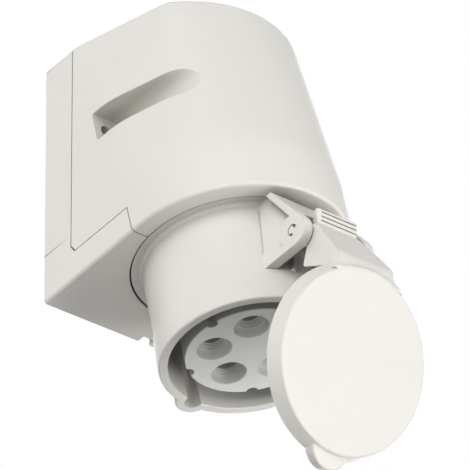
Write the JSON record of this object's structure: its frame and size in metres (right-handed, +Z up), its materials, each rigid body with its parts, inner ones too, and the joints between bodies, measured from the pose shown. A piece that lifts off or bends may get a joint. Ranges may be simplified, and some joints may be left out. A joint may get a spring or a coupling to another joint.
{
  "type": "industrial wall socket",
  "caption": "Round pin-and-sleeve wall socket: outlet collar leaning out of a moulded two-part wall housing, hinged lid standing open, recessed contact wells.",
  "frame": {"origin": "the middle of the flat back face that lies on the wall", "axes": "+Z up along the wall, +Y into the wall, +X to the right for someone who faces the wall"},
  "size_m": [0.084, 0.1157, 0.1845],
  "materials": {
    "housing_plastic": "fine satin, light warm grey moulded plastic",
    "insert_plastic": "satin, light grey moulded plastic",
    "contact_brass": "bright plated brass",
    "zinc_steel": "zinc plated steel",
    "seal_rubber": "matte black rubber"
  },
  "bodies": {
    "base": {"back_box": "housing_plastic", "cable_grommet": "seal_rubber", "collar_seal_ring": "seal_rubber", "contact_insert": "insert_plastic", "contact_sleeve_earth": "contact_brass", "contact_sleeve_l1": "contact_brass", "contact_sleeve_l2": "contact_brass", "contact_sleeve_l3": "contact_brass", "contact_sleeve_neutral": "contact_brass", "cover_screw_left": "zinc_steel", "cover_screw_right": "zinc_steel", "front_cover": "housing_plastic", "hinge_pin": "housing_plastic", "insert_base": "insert_plastic", "insert_lock_ring": "insert_plastic", "socket_collar": "housing_plastic", "terminal_screw_earth": "zinc_steel", "terminal_screw_l1": "zinc_steel", "terminal_screw_l2": "zinc_steel", "terminal_screw_l3": "zinc_steel", "terminal_screw_neutral": "zinc_steel"},
    "lid": {"lid": "housing_plastic", "lid_gasket": "seal_rubber"}
  },
  "joints": [
    {"name": "lid_hinge", "type": "hinge", "parent": "base", "child": "lid", "pos_m": [0, -0.0945, -0.04191], "axis": [-1, 0, 0], "range_deg": [-59, 5]}
  ]
}
